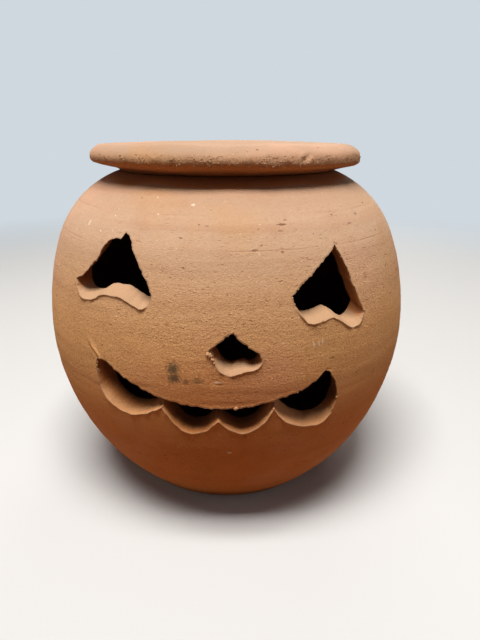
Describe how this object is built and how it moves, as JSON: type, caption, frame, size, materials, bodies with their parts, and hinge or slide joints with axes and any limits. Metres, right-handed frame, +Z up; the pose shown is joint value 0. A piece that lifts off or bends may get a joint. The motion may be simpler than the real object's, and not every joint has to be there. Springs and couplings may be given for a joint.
{
  "type": "terracotta jack-o'-lantern",
  "caption": "Round unglazed terracotta pot with a jack-o'-lantern face cut through its wall and a loose disc lid; holds a candle or small lamp.",
  "frame": {"origin": "centre of the foot, on the surface that the pot stands on", "axes": "+Z up along the pot's axis, the face looks towards -Y, +X to the right of someone facing it"},
  "size_m": [0.2, 0.2, 0.1867],
  "materials": {
    "pot_clay": "matte unglazed terracotta",
    "lid_clay": "matte unglazed terracotta"
  },
  "bodies": {
    "pot": {"pot": "pot_clay"},
    "lid": {"lid": "lid_clay"}
  },
  "joints": [
    {"name": "lid_lift", "type": "slide", "parent": "pot", "child": "lid", "axis": [0, 0, 1], "range_m": [0, 0.12]}
  ]
}
